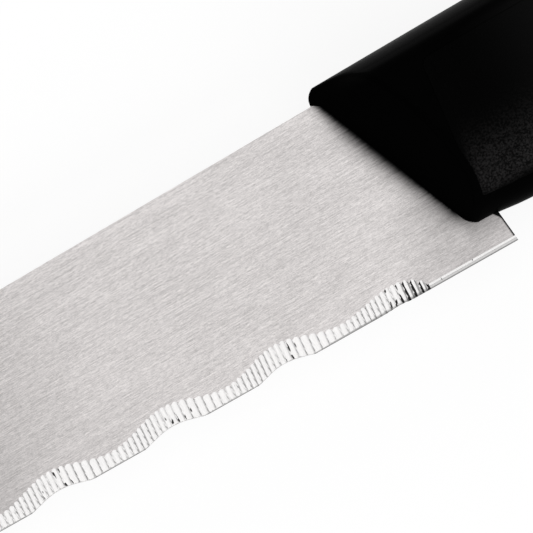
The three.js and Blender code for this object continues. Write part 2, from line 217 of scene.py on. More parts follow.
rake_run = math.tan(FRONT_RAKE)
front_bottom = HEEL_DROP - HEEL_DEPTH
front_foot = -front_bottom * rake_run
heel = Vector((front_foot + HEEL_SETBACK, -HEEL_DEPTH))
point = Vector((heel.x - BLADE_LENGTH, -POINT_DROP))
sweep_start = Vector((point.x + SWEEP_LENGTH, -SWEEP_DEPTH))
leave = sweep_start + (sweep_start - heel).normalized() * SWEEP_START_EASE
arrive = point + Vector((math.cos(SWEEP_END_ANGLE), -math.sin(SWEEP_END_ANGLE))) * SWEEP_END_EASE
sweep = interpolate_bezier(sweep_start, leave, arrive, point, SWEEP_POINTS)
edge_points = [heel, *(p.to_2d() for p in sweep)]
edge_lengths = [0.0]
for before, after in zip(edge_points, edge_points[1:]):
    edge_lengths.append(edge_lengths[-1] + (after - before).length)
edge_length = edge_lengths[-1]


def edge_place(length):
    """A place on the edge, the given length from the heel, or beyond an end along its line."""
    step = min(max(bisect_right(edge_lengths, length) - 1, 0), len(edge_points) - 2)
    share = (length - edge_lengths[step]) / (edge_lengths[step + 1] - edge_lengths[step])
    return edge_points[step].lerp(edge_points[step + 1], share)


def edge_at(length):
    along = (edge_place(length + EDGE_PROBE) - edge_place(length - EDGE_PROBE)).normalized()
    return edge_place(length), Vector((along.y, -along.x))


print("edge length", round(edge_length, 2), "point", [round(x, 2) for x in point])

# %% [markdown]
# A blade like this is stamped from sheet. It could be cut out of a plate by booleans, but extruding it
# gives clean rows of faces: a flat grid of two faces at the heel, whose front edge is extruded along the
# blade, each time to the next station between the edge and the spine.

# %% Outline of the blade
SPINE_FALL_LENGTH, SPINE_FALL_EASE = 72, 40
TANG_STEP, TANG_ROOT_DROP = 9, 3
TANG_TOP, TANG_LOW_MARGIN = -4.4, 6.4
WEB_SHARE = 0.73
HEEL_BLOCK = 12
PICK_MARGIN = 0.5
STATION_EVERY = 3


def spine_y(x):
    """Height of the spine: straight, then a parabola down to the point."""
    fall = point.x + SPINE_FALL_LENGTH - x
    if fall <= 0:
        return 0
    bend = 2 * SPINE_FALL_EASE - SPINE_FALL_LENGTH
    share = (SPINE_FALL_EASE - math.sqrt(SPINE_FALL_EASE**2 - bend * fall)) / bend
    return -POINT_DROP * share**2


def station(x, low):
    top = spine_y(x)
    return [at(x, low), at(x, low + (top - low) * (1 - WEB_SHARE)), at(x, top)]


def extrude_to(piece, places):
    """Extrudes the selected row of corners and carries the new row to the given places, lowest first."""
    bpy.ops.mesh.extrude_region_move()
    mesh = bmesh.from_edit_mesh(piece.data)
    row = sorted((v for v in mesh.verts if v.select), key=lambda v: v.co.y)
    for corner, place in zip(row, places):
        corner.co = place
    bmesh.update_edit_mesh(piece.data)


def set_grid(piece, places):
    """Carries the corners of a new grid to the given places, row by row from the lower left."""
    corners = sorted(piece.data.vertices, key=lambda v: (round(v.co.x, 6), round(v.co.y, 6)))
    for corner, place in zip(corners, places):
        corner.co = place


tang_low = front_bottom + TANG_LOW_MARGIN
tang_middle = (TANG_TOP + tang_low) / 2
tang_root = tang_low - TANG_ROOT_DROP
root_x = heel.x - math.tan(HEEL_LEAN) * (tang_root + HEEL_DEPTH)
block_front = heel.x - HEEL_BLOCK
block_low = edge_place(HEEL_BLOCK).y

bpy.ops.mesh.primitive_grid_add(x_subdivisions=1, y_subdivisions=2, size=MM)
blade = new_piece("knife_blade")
rear = [at(heel.x, heel.y), at(root_x, tang_root), at(TANG_STEP, 0)]
set_grid(blade, station(block_front, block_low) + rear)

start_edit(blade)
pick_corners(blade, lambda co: co.x < at(block_front + PICK_MARGIN, 0).x)
for place in edge_points[1::STATION_EVERY]:
    extrude_to(blade, station(place.x, place.y))
end_edit()
print("blade outline", len(blade.data.vertices), "corners")

# %% [markdown]
# The tang is the part of the same sheet that the handle hides. The rear edge of the heel is extruded
# backwards into it and on round a half circle. Solidify gives the sheet its thickness, round bars punch
# the holes that hold the handle, and a narrow bevel takes the sharpness off the stamped edges. A copy
# from before the bevel is kept, to mould the handle round it later.

# %% Tang, thickness and soft edges
TANG_STEP_RUN, TANG_ROOT_RUN = 5, 5
TANG_TAPER, TANG_END = 1.6, 98
TANG_ARC_STEPS, TANG_ARC_LAST = 8, math.radians(4)
TANG_HOLE_RADIUS, PUNCH_CLEAR = 2.4, 1
TANG_HOLES = (32, 58, 84)
SOFT_EDGE, SOFT_EDGE_SEGMENTS, SOFT_EDGE_ANGLE = 0.15, 2, math.radians(50)

end_radius = (TANG_TOP - tang_low) / 2 - TANG_TAPER
end_x = TANG_END - end_radius
start_edit(blade)
pick_corners(blade, lambda co: is_at(co, rear[1]) or is_at(co, rear[2]))
extrude_to(blade, [at(root_x + TANG_ROOT_RUN, tang_low), at(TANG_STEP + TANG_STEP_RUN, TANG_TOP)])
for turn in spread(math.pi / 2, TANG_ARC_LAST, TANG_ARC_STEPS):
    x, rise = end_x + end_radius * math.cos(turn), end_radius * math.sin(turn)
    extrude_to(blade, [at(x, tang_middle - rise), at(x, tang_middle + rise)])
face_outwards()
end_edit()
apply_modifier(blade, "SOLIDIFY", thickness=BLADE_THICKNESS * MM, offset=0)
punch_end = HALF_SHEET + PUNCH_CLEAR
for x in TANG_HOLES:
    punch = add_bar("hole_punch", x, tang_middle, TANG_HOLE_RADIUS, -punch_end, punch_end)
    combine(blade, "DIFFERENCE", punch)
blank = copy_of(blade, "blank_for_moulding")
soft_edge = {"width": SOFT_EDGE * MM, "segments": SOFT_EDGE_SEGMENTS}
apply_modifier(blade, "BEVEL", limit_method="ANGLE", angle_limit=SOFT_EDGE_ANGLE, **soft_edge)
start_edit(blade)
face_outwards()
end_edit()
print("blade blank", len(blade.data.polygons), "faces")

# %% [markdown]
# A profiled wheel grinds the flutes: shallow grooves side by side on a face that slopes down to the edge,
# deeper and shallower in waves. Each groove could be cut by its own cylinder, but close to two hundred
# cylinders that cross make a slow and fragile boolean. So the ground face is first written as one
# formula: how much steel is gone at a given length along the edge and a given distance in from it.

# %% Shape of the ground face
GRIND_SLOPE = math.tan(math.radians(24))
GRIND_DEEP, GRIND_SHALLOW = 3.75, 1.85
GRIND_FIRST_SHARE, GRIND_GROW_LENGTH = 0.7, 24
WAVE_PITCH, FLUTES_PER_WAVE, FIRST_WAVE, RUN_IN = 18.1, 19, 4.3, 4.5
FLUTE_DEPTH, FIRST_FLUTES_DEEPER, DEEPER_LENGTH = 0.16, 1.0, 5
FLUTE_LEAN = math.tan(math.radians(5))
FLUTE_CROWDING = 0.55
SERRATION_START, SERRATION_END = 14, 12
BEVEL_WIDTH, BEVEL_SLOPE = 0.8, 0.4
HONE_SLOPE, HONE_DEPTH, HONE_BLEND = (1.2, 2.4), (0.7, 1.39), 4
GRIND_KEPT = 2.72

flute_pitch = WAVE_PITCH / FLUTES_PER_WAVE
flute_count = int((edge_length - SERRATION_START - SERRATION_END) / flute_pitch)
serration_end = SERRATION_START + flute_count * flute_pitch


def between(value, low, high):
    """A smooth step from 0 at low to 1 at high."""
    share = min(max((value - low) / (high - low), 0), 1)
    return share * share * (3 - 2 * share)


def grind_width(length):
    """How far from the edge the ground face starts."""
    from_start = length - SERRATION_START
    wave = 0.5 + 0.5 * math.cos(2 * math.pi * (from_start - FIRST_WAVE) / WAVE_PITCH)
    full = GRIND_SHALLOW + (GRIND_DEEP - GRIND_SHALLOW) * wave
    share = GRIND_FIRST_SHARE + (1 - GRIND_FIRST_SHARE) * min(1, from_start / GRIND_GROW_LENGTH)
    run = min(1, min(from_start, serration_end - length) / RUN_IN)
    return full * share * math.sqrt(1 - (1 - run) ** 2)


def flute_phase(length, inside):
    """Where a place lies across its flute, from 0 to 1.

    The flutes lean, and they crowd on one side of each wave.
    """
    along = length - SERRATION_START + FLUTE_LEAN * inside
    turn = 2 * math.pi * ((along - FIRST_WAVE) / WAVE_PITCH - 0.25)
    return (along / flute_pitch + FLUTE_CROWDING * math.sin(turn)) % 1


def ground_depth(length, inside):
    """How much steel is gone at a place on the fluted face, the given distance in from the edge."""
    ends = min(length - SERRATION_START, serration_end - length)
    waves = between(length - SERRATION_START, 0, HONE_BLEND)
    hone_slope, hone_depth = (
        at_heel + (in_waves - at_heel) * waves for at_heel, in_waves in (HONE_SLOPE, HONE_DEPTH)
    )
    bevel = (BEVEL_WIDTH - inside) * BEVEL_SLOPE
    if ends < 0:
        return max(bevel, hone_depth - inside * hone_slope)
    width = grind_width(length)
    phase = flute_phase(length, inside)
    deeper = 1 + FIRST_FLUTES_DEEPER * (1 - between(length - SERRATION_START, 0, DEEPER_LENGTH))
    ground = (width - inside) * GRIND_SLOPE + 4 * FLUTE_DEPTH * deeper * phase * (1 - phase)
    honed = hone_depth + (max(0, width - GRIND_KEPT) - inside) * hone_slope
    return max(bevel, ground, honed)


first_wave = [round(grind_width(SERRATION_START + x), 2) for x in spread(0, WAVE_PITCH, 4)]
print(flute_count, "flutes, ground widths over the first wave", first_wave)

# %% [markdown]
# One long grid is the wheel's path. Every corner of it is lowered by the formula, the grid is extruded
# into a block, and one boolean takes the steel away. The cut keeps the block's own finish, so the ground
# face is bright and the rest of the blade stays brushed. A second, plain block makes the narrow bevel on
# the back.

# %% Grind the edge
FLUTE_STEPS, PLAIN_STEPS, BACK_STEPS = 10, 30, 180
EDGE_OVERRUN, END_OVERRUN = 1.5, 2
FINE_ROWS, FINE_ROWS_TO = 24, 2.4
COARSE_ROWS = (2.8, 3.4, 4, 4.6, 5.4)
BACK_BEVEL_WIDTH, BACK_BEVEL_SLOPE = 0.5, 0.4
LID = 4
BLADE_SMOOTH_ANGLE = math.radians(17)


def grinding_block(name, lengths, rows, depth_at, side):
    """A block whose lower face is the ground surface.

    Side is 1 for the fluted face and -1 for the plain one.
    """
    columns, lines = len(lengths) - 1, len(rows) - 1
    bpy.ops.object.select_all(action="DESELECT")
    bpy.ops.mesh.primitive_grid_add(x_subdivisions=columns, y_subdivisions=lines, size=2)
    block = new_piece(name)
    places = [edge_at(length) for length in lengths]
    for corner in block.data.vertices:
        column = round((corner.co.x + 1) / 2 * columns)
        inside = rows[round((corner.co.y + 1) / 2 * lines)]
        place, inward = places[column]
        spot = place + inward * inside
        corner.co = at(spot.x, spot.y, side * (HALF_SHEET - depth_at(lengths[column], inside)))
    start_edit(block)
    bpy.ops.mesh.select_all(action="SELECT")
    bpy.ops.mesh.extrude_region_move()
    mesh = bmesh.from_edit_mesh(block.data)
    for corner in mesh.verts:
        if corner.select:
            corner.co.z = at(0, 0, side * LID).z
    bmesh.update_edit_mesh(block.data)
    face_outwards()
    end_edit()
    return block


def back_depth(length, inside):
    return (BACK_BEVEL_WIDTH - inside) * BACK_BEVEL_SLOPE


def finish_named(name):
    """A finish, which gets its nodes further down."""
    return bpy.data.materials.get(name) or bpy.data.materials.new(name)


heel_lengths = spread(-END_OVERRUN, SERRATION_START, PLAIN_STEPS)
flute_lengths = spread(SERRATION_START, serration_end, flute_count * FLUTE_STEPS)
tip_lengths = spread(serration_end, edge_length + END_OVERRUN, PLAIN_STEPS)
all_lengths = heel_lengths[:-1] + flute_lengths + tip_lengths[1:]
all_rows = (-EDGE_OVERRUN, *spread(0, FINE_ROWS_TO, FINE_ROWS), *COARSE_ROWS)
front_block = grinding_block("front_grind", all_lengths, all_rows, ground_depth, 1)
back_lengths = spread(-END_OVERRUN, edge_length + END_OVERRUN, BACK_STEPS)
back_block = grinding_block("back_grind", back_lengths, (-EDGE_OVERRUN, EDGE_OVERRUN), back_depth, -1)
for block in (front_block, back_block):
    block.data.materials.append(finish_named("ground_steel"))
blade.data.materials.append(finish_named("brushed_steel"))
combine(blade, "DIFFERENCE", front_block, "TRANSFER")
combine(blade, "DIFFERENCE", back_block, "TRANSFER")
take(blade)
bpy.ops.object.shade_smooth_by_angle(angle=BLADE_SMOOTH_ANGLE)
print("ground blade", len(blade.data.polygons), "faces,", [m.name for m in blade.data.materials])

# %% [markdown]
# The handle is a moulded grip that swells at the belly and at the butt and draws in at the waist between
# them. Its side view and its thickness are drawn first, as smooth lines through a few knots, as a maker
# would draw them with a bent spline. A curve object could hold them too, but a function can be asked for
# its value at any place.

# %% Lines of the handle
HANDLE_RISE, BACK_EASE, BACK_FALL = 2.165, 0.2, 2.6
STEP_LEAD, STEP_RUN, STEP_DROP = 2.5, 6.5, 0.65
BELLY_AT, BELLY_DROP, BELLY_THICKNESS = 42, 1.6, 19.54
WAIST_AT, WAIST_RISE, WAIST_THICKNESS = HANDLE_LENGTH - 42, 2.2, 17.2
SWELL_AT, SWELL_DROP, SWELL_THICKNESS = HANDLE_LENGTH - 14, 1.6, 19
FRONT_THICKNESS = 19.2


def line_through(*knots):
    """A smooth line through a few (x, value) knots, level before the first and after the last."""
    xs, values = zip(*knots)
    slopes = [0.0] * len(knots)
    for i in range(1, len(knots) - 1):
        slopes[i] = (values[i + 1] - values[i - 1]) / (xs[i + 1] - xs[i - 1])

    def line(x):
        x = min(max(x, xs[0]), xs[-1])
        i = min(bisect_right(xs, x) - 1, len(xs) - 2)
        run = xs[i + 1] - xs[i]
        share = (x - xs[i]) / run
        straight = values[i] + (values[i + 1] - values[i]) * between(share, 0, 1)
        out, back = share * (1 - share) ** 2, share * share * (1 - share)
        return straight + run * (slopes[i] * out - slopes[i + 1] * back)

    return line


top_at = line_through(
    (0, HANDLE_RISE),
    (BELLY_AT, HANDLE_RISE - BACK_EASE),
    (SWELL_AT, HANDLE_RISE - BACK_FALL),
)
step_start = heel.x - STEP_LEAD
low_at = line_through(
    (step_start, front_bottom),
    (step_start + STEP_RUN, front_bottom - STEP_DROP),
    (BELLY_AT, front_bottom - BELLY_DROP),
    (WAIST_AT, front_bottom + WAIST_RISE),
    (SWELL_AT, front_bottom - SWELL_DROP),
)
thickness_at = line_through(
    (heel.x, FRONT_THICKNESS),
    (BELLY_AT, BELLY_THICKNESS),
    (WAIST_AT, WAIST_THICKNESS),
    (SWELL_AT, SWELL_THICKNESS),
)
print("handle depth at the belly", round(top_at(BELLY_AT) - low_at(BELLY_AT), 2))

# %% [markdown]
# The section of the handle is an egg that is widest near its top. One circle is shaped into that egg, and
# the ring is extruded back along the handle, and scaled and moved at each station so that it follows the
# drawn lines. The last rings close in round the butt. Lofting one ring keeps the long lines of the grip
# smooth.

# %% Loft the handle
CROWN_STEPS, FLANK_STEPS = 12, 20
WIDEST, CROWN_FULLNESS, CORNER_FULLNESS = 0.5, 1, 0.9
FLANK_FULLNESS, KEEL_FULLNESS = -0.175, 0.59
FRONT_REACH, BUTT_ROUND = 6, 13
STEP_STATIONS, HANDLE_STATIONS, BUTT_STATIONS = 5, 26, 14
BUTT_LAST_TURN = math.radians(87)


def egg_section():
    """Half of the section, top to underside, as (height from -1 to 1, half width from 0 to 1)."""
    crown = interpolate_bezier(
        (1, 0, 0), (1, CROWN_FULLNESS, 0), (CORNER_FULLNESS, 1, 0), (WIDEST, 1, 0), CROWN_STEPS + 1
    )
    flank = interpolate_bezier(
        (WIDEST, 1, 0), (FLANK_FULLNESS, 1, 0), (-1, KEEL_FULLNESS, 0), (-1, 0, 0), FLANK_STEPS + 1
    )
    return [p.to_2d() for p in crown + flank[1:]]


def ring_size(x, section_x, scale):
    """Centre of a ring in the scene, and its half height and half thickness in metres."""
    top, low = top_at(section_x), low_at(section_x)
    return at(x, (top + low) / 2), (top - low) / 2 * scale * MM, thickness_at(section_x) / 2 * scale * MM


half_section = egg_section()
other_half = [Vector((p.x, -p.y)) for p in half_section[-2:0:-1]]
section = half_section + other_half

butt_start = HANDLE_LENGTH - BUTT_ROUND
stations = [(-FRONT_REACH, 0, 1)]
stations += [(x, x, 1) for x in spread(step_start, step_start + STEP_RUN, STEP_STATIONS)[:-1]]
stations += [(x, x, 1) for x in spread(step_start + STEP_RUN, butt_start, HANDLE_STATIONS)]
for turn in spread(0, BUTT_LAST_TURN, BUTT_STATIONS)[1:]:
    x = butt_start + BUTT_ROUND * math.sin(turn) / math.sin(BUTT_LAST_TURN)
    stations.append((x, butt_start, math.cos(turn)))

bpy.ops.object.select_all(action="DESELECT")
bpy.ops.mesh.primitive_circle_add(vertices=len(section), radius=MM)
grip_form = new_piece("grip_form")
centre, height, width = ring_size(*stations[0])
for corner, spot in zip(grip_form.data.vertices, section):
    corner.co = centre + Vector((0, spot.x * height, spot.y * width))
start_edit(grip_form)
bpy.ops.mesh.select_all(action="SELECT")
bpy.ops.mesh.edge_face_add()
for ring in stations[1:]:
    new_centre, new_height, new_width = ring_size(*ring)
    bpy.ops.mesh.extrude_region_move(TRANSFORM_OT_translate={"value": new_centre - centre})
    bpy.ops.transform.resize(value=(1, new_height / height, new_width / width), center_override=new_centre)
    centre, height, width = new_centre, new_height, new_width
face_outwards()
end_edit()
print("grip form", len(grip_form.data.polygons), "faces", [round(x / MM, 2) for x in grip_form.dimensions])

# %% [markdown]
# The nose of the handle falls back from the blade on both sides, like the bow of a boat, and it leans
# back towards the belly. Two bisects cut those slopes and fill them. The crease that they leave is then
# bevelled, because moulded plastic has no knife-sharp corner.

# %% Cut the sloped nose
FRONT_SLOPE = math.tan(math.radians(42.6))
CREASE_ROUND, CREASE_SEGMENTS = 0.7, 4
SAME_WAY = 0.9999

back_way = Vector((math.cos(FRONT_RAKE), math.sin(FRONT_RAKE), 0))
slope_normals = [(side * FRONT_SLOPE * Vector((0, 0, 1)) - back_way).normalized() for side in (1, -1)]


def cut_nose(piece, behind):
    """Cuts away what lies ahead of the two slopes, moved back by the given amount."""
    start_edit(piece)
    for side, normal in zip((1, -1), slope_normals):
        bpy.ops.mesh.select_all(action="SELECT")
        spot = at(0, 0, side * HALF_SHEET) + back_way * behind * MM
        bpy.ops.mesh.bisect(plane_co=spot, plane_no=normal, use_fill=True, clear_outer=True)
    face_outwards()
    end_edit()


def on_slope(face):
    return any(face.normal.dot(normal) > SAME_WAY for normal in slope_normals)


def is_crease(edge):
    """True for an edge between a slope of the nose and the rest of the skin."""
    faces = edge.link_faces
    return len(faces) == 2 and on_slope(faces[0]) != on_slope(faces[1])


handle = copy_of(grip_form, "handle_moulding")
cut_nose(handle, 0)
start_edit(handle, "EDGE")
creases = pick_edges(handle, is_crease)
round_edges(CREASE_ROUND, CREASE_SEGMENTS)
face_outwards()
end_edit()
print("creases rounded:", creases)

# %% [markdown]
# From the side, the nose has a round shoulder where it wraps over the spine and a rounded lower corner
# beside the heel. A box that leans with the nose is given those two round edges with bevel, and a boolean
# keeps only the part of the handle that is inside it.

# %% Round the shoulder and the lower corner
SHOULDER_LEAD, SHOULDER_ROUND = 0.35, 3.7
CHEEK_LEAD, CHEEK_ROUND = 0.03, 2.2
TOP_FLARE, LOW_FLARE = 8, 14
BOX_REACH, BOX_HALF, BOX_CLEAR = 150, 14, 0.03
BOX_SEGMENTS = 10

bpy.ops.object.select_all(action="DESELECT")
bpy.ops.mesh.primitive_cube_add(size=2)
profile_box = new_piece("nose_profile")
box_top = HANDLE_RISE + BOX_CLEAR
for corner in profile_box.data.vertices:
    upper, rear_end = corner.co.y > 0, corner.co.x > 0
    y = box_top if upper else front_bottom
    x = -(SHOULDER_LEAD if upper else CHEEK_LEAD) - y * rake_run
    if rear_end:
        x, y = BOX_REACH, y + (TOP_FLARE if upper else -LOW_FLARE)
    corner.co = at(x, y, BOX_HALF * math.copysign(1, corner.co.z))


def is_upright(edge):
    """True for an edge that runs through the thickness of the knife."""
    return abs(edge.verts[0].co.z - edge.verts[1].co.z) > MM


def is_front_corner(edge, upper):
    """True for an upright edge at the front of the box, in its upper or in its lower half."""
    middle = at(BOX_REACH / 2, (box_top + front_bottom) / 2)
    return is_upright(edge) and all(v.co.x < middle.x and (v.co.y > middle.y) == upper for v in edge.verts)


start_edit(profile_box, "EDGE")
for upper, radius in ((True, SHOULDER_ROUND), (False, CHEEK_ROUND)):
    bpy.ops.mesh.select_all(action="DESELECT")
    pick_edges(profile_box, lambda edge: is_front_corner(edge, upper))
    round_edges(radius, BOX_SEGMENTS)
face_outwards()
end_edit()
combine(handle, "INTERSECT", profile_box)
print("nose rounded:", len(handle.data.polygons), "faces")

# %% [markdown]
# On each side a grained panel is set flush into the hard plastic. It could be a thin patch laid on the
# skin, but then it would stand proud. Here both pieces come from the same form, so they meet in one
# smooth skin. The first step is a block with the outline of the panels: its rows are extruded along the
# handle and its corners rounded.

# %% Outline of the grip panels
PANEL_SETBACK, PANEL_BACK_MARGIN = 3.0, 15
PANEL_LEAN = math.tan(math.radians(7))
PANEL_TOP_MARGIN, PANEL_LOW_MARGIN = 4.4, 3.0
PANEL_CORNER, PANEL_CORNER_SEGMENTS = 1.2, 6
PANEL_STATIONS = 24
NOSE_BAND = 0.8


def panel_block(name, gap):
    """A block through the handle with the outline of the panels, grown by a gap."""
    front = front_foot + PANEL_SETBACK - gap
    back = HANDLE_LENGTH - PANEL_BACK_MARGIN + gap
    front_top = front + PANEL_LEAN * (top_at(front) - PANEL_TOP_MARGIN - low_at(front) - PANEL_LOW_MARGIN)
    low_xs = spread(front, back, PANEL_STATIONS)
    top_xs = spread(front_top, back, PANEL_STATIONS)
    low_row = [at(x, low_at(x) + PANEL_LOW_MARGIN - gap, -BOX_HALF) for x in low_xs]
    top_row = [at(x, top_at(x) - PANEL_TOP_MARGIN + gap, -BOX_HALF) for x in top_xs]
    rows = list(zip(low_row, top_row))
    bpy.ops.object.select_all(action="DESELECT")
    bpy.ops.mesh.primitive_grid_add(x_subdivisions=1, y_subdivisions=1, size=MM)
    block = new_piece(name)
    set_grid(block, [*rows[0], *rows[1]])
    start_edit(block)
    pick_corners(block, lambda co: any(is_at(co, place) for place in rows[1]))
    for row in rows[2:]:
        extrude_to(block, row)
    bpy.ops.mesh.select_all(action="SELECT")
    bpy.ops.mesh.extrude_region_move(TRANSFORM_OT_translate={"value": (0, 0, 2 * BOX_HALF * MM)})
    face_outwards()
    bpy.ops.mesh.select_mode(type="EDGE")
    bpy.ops.mesh.select_all(action="DESELECT")
    ends = [place.xy for place in (*rows[0], *rows[-1])]
    pick_edges(block, lambda e: is_upright(e) and any(is_at(e.verts[0].co.xy, end) for end in ends))
    round_edges(PANEL_CORNER, PANEL_CORNER_SEGMENTS)
    face_outwards()
    end_edit()
    cut_nose(block, NOSE_BAND - gap)
    return block


panel_outline = panel_block("panel_outline", 0)
print("panel outline", [round(x / MM, 2) for x in panel_outline.dimensions])

# %% [markdown]
# Now the panels are split off. What the outline shares with the handle is kept, the inside of the grip,
# shrunk by the depth of a panel, is taken from it, and what is left falls into a left and a right panel.
# The recess in the handle is cut in the same way with a block that is larger by the fine gap between the
# two mouldings.

# %% Split off the panels
PANEL_DEPTH = 1.8
PARTING = 0.05


def inner_form(name, depth):
    """The grip form, shrunk all round."""
    inner = copy_of(grip_form, name)
    start_edit(inner)
    bpy.ops.mesh.select_all(action="SELECT")
    bpy.ops.transform.shrink_fatten(value=-depth * MM)
    end_edit()
    return inner


def mean_z(piece):
    return sum(v.co.z for v in piece.data.vertices) / len(piece.data.vertices)


panels = copy_of(handle, "panels")
combine(panels, "INTERSECT", panel_outline)
combine(panels, "DIFFERENCE", inner_form("panel_back", PANEL_DEPTH))
recess = panel_block("panel_recess", PARTING)
combine(recess, "DIFFERENCE", inner_form("recess_floor", PANEL_DEPTH + PARTING))
combine(handle, "DIFFERENCE", recess)
start_edit(panels)
bpy.ops.mesh.select_all(action="SELECT")
bpy.ops.mesh.separate(type="LOOSE")
end_edit()
panel_right, panel_left = sorted(bpy.context.selected_objects, key=mean_z)
panel_right.name, panel_left.name = "grip_panel_right", "grip_panel_left"
print("panels:", [(o.name, len(o.data.polygons)) for o in (panel_left, panel_right)])

# %% [markdown]
# Each panel has two lugs on its back that sit in pockets of the hard plastic. The plastic itself was
# moulded round the tang and through its holes. A copy of the blade's blank, grown by a hair, cuts that
# shape out of the handle, so the posts that fill the holes are left standing by themselves.

# %% Lugs, pockets and the slot for the blade
LUG_RADIUS, LUG_FLOOR, LUG_TOP = 2.6, 2.95, 7.5
LUGS = (45, 71)
SNUG = 0.04

for panel, side in ((panel_left, 1), (panel_right, -1)):
    for x in LUGS:
        low, high = sorted((side * LUG_FLOOR, side * LUG_TOP))
        combine(panel, "UNION", add_bar("lug", x, tang_middle, LUG_RADIUS, low, high))
        low, high = sorted((side * (LUG_FLOOR - PARTING), side * BOX_HALF))
        pocket = add_bar("lug_pocket", x, tang_middle, LUG_RADIUS + PARTING, low, high)
        combine(handle, "DIFFERENCE", pocket)
start_edit(blank)
face_outwards()
bpy.ops.mesh.select_all(action="SELECT")
bpy.ops.transform.shrink_fatten(value=SNUG * MM, use_even_offset=True)
end_edit()
combine(handle, "DIFFERENCE", blank)
print("handle with its pockets and its slot:", len(handle.data.polygons), "faces")

# %% [markdown]
# Where the nose meets the blade, the plastic lies a little further back than at the shoulder and at the
# lower corner. The long edges beside the blade are subdivided, and their corners are moved back by that
# small amount. Corners a little way up the slope follow by less, so that no fold shows.

# %% Set the line of the nose back
BACK_TOP, BACK_LOW = 0.85, 0.3
BACK_FROM, BACK_RUN = 0.2, 0.6
LINE_CUTS, LONG_EDGE = 11, 5
LINE_BAND, LINE_FADE, LINE_OVERRUN = 1.3, 1.5, 1
ON_LINE = 0.99


def nearness(corner):
    """1 for a corner on the line where the nose meets the blade, falling to 0 a little way up the slope."""
    spot = (corner.co - drawing_origin) / MM
    off_line = abs(spot.x + spot.y * rake_run)
    above = abs(spot.z) - HALF_SHEET - SNUG
    beyond_ends = not front_bottom - LINE_OVERRUN < spot.y < LINE_OVERRUN
    if off_line > LINE_BAND or above < -SNUG / 2 or beyond_ends:
        return 0
    return max(0, 1 - above / LINE_FADE)


def is_beside_blade(edge):
    return all(nearness(v) > ON_LINE for v in edge.verts) and edge.calc_length() > LONG_EDGE * MM


start_edit(handle, "EDGE")
long_edges = pick_edges(handle, is_beside_blade)
bpy.ops.mesh.subdivide(number_cuts=LINE_CUTS)
handle_mesh = bmesh.from_edit_mesh(handle.data)
for corner in handle_mesh.verts:
    down = (drawing_origin.y - corner.co.y) / MM
    back = BACK_TOP + (BACK_LOW - BACK_TOP) * min(down / -front_bottom, 1)
    corner.co.x += back * nearness(corner) * between(down, -BACK_FROM, BACK_RUN) * MM
bmesh.update_edit_mesh(handle.data)
end_edit()
print("edges beside the blade:", long_edges)

# %% [markdown]
# Moulded plastic has no facets, but it has creases. Smoothing everything would smear the light across the
# parting lines, so only edges where the faces meet at a small angle are shaded smooth. The meshes are
# merged and turned outwards first, because booleans can leave doubled corners.

# %% Smooth shading
HANDLE_SMOOTH_ANGLE = math.radians(32)

for piece in (handle, panel_left, panel_right):
    start_edit(piece)
    face_outwards()
    end_edit()
    take(piece)
    bpy.ops.object.shade_smooth_by_angle(angle=HANDLE_SMOOTH_ANGLE)
    print(piece.name, len(piece.data.polygons), "faces", [round(x / MM, 2) for x in piece.dimensions])

# %% [markdown]
# Finishes are built from nodes. A small class wraps one output of a node, so that sums and products of
# patterns can be written as plain arithmetic.

# %% Arithmetic with patterns
class Field:
    """A number that varies over a surface. Arithmetic on it adds Math nodes."""

    def __init__(self, finish, socket):
        self.finish, self.socket = finish, socket

    def math(self, operation, first, second=0):
        node = self.finish.node("ShaderNodeMath", {"operation": operation}, {0: first, 1: second})
        return Field(self.finish, node.outputs[0])

    def __add__(self, other):
        return self.math("ADD", self, other)

    __radd__ = __add__

    def __mul__(self, other):
        return self.math("MULTIPLY", self, other)

    __rmul__ = __mul__

    def __sub__(self, other):
        return self.math("SUBTRACT", self, other)

    def __rsub__(self, other):
        return self.math("SUBTRACT", other, self)

    def __truediv__(self, other):
        return self.math("DIVIDE", self, other)

    def __pow__(self, other):
        return self.math("POWER", self, other)

    def __rpow__(self, other):
        return self.math("POWER", other, self)

    def at_most(self, other):
        return self.math("MINIMUM", self, other)

    def at_least(self, other):
        return self.math("MAXIMUM", self, other)

    def clipped(self):
        return self.at_least(0).at_most(1)

    def cosine(self):
        return self.math("COSINE", self)


print("pattern operations:", sum(map(callable, vars(Field).values())))

# %% [markdown]
# Another class makes a material and adds any other node to it. Its patterns are all read from Object
# coordinates, so they sit in the steel and the plastic however the knife is turned.

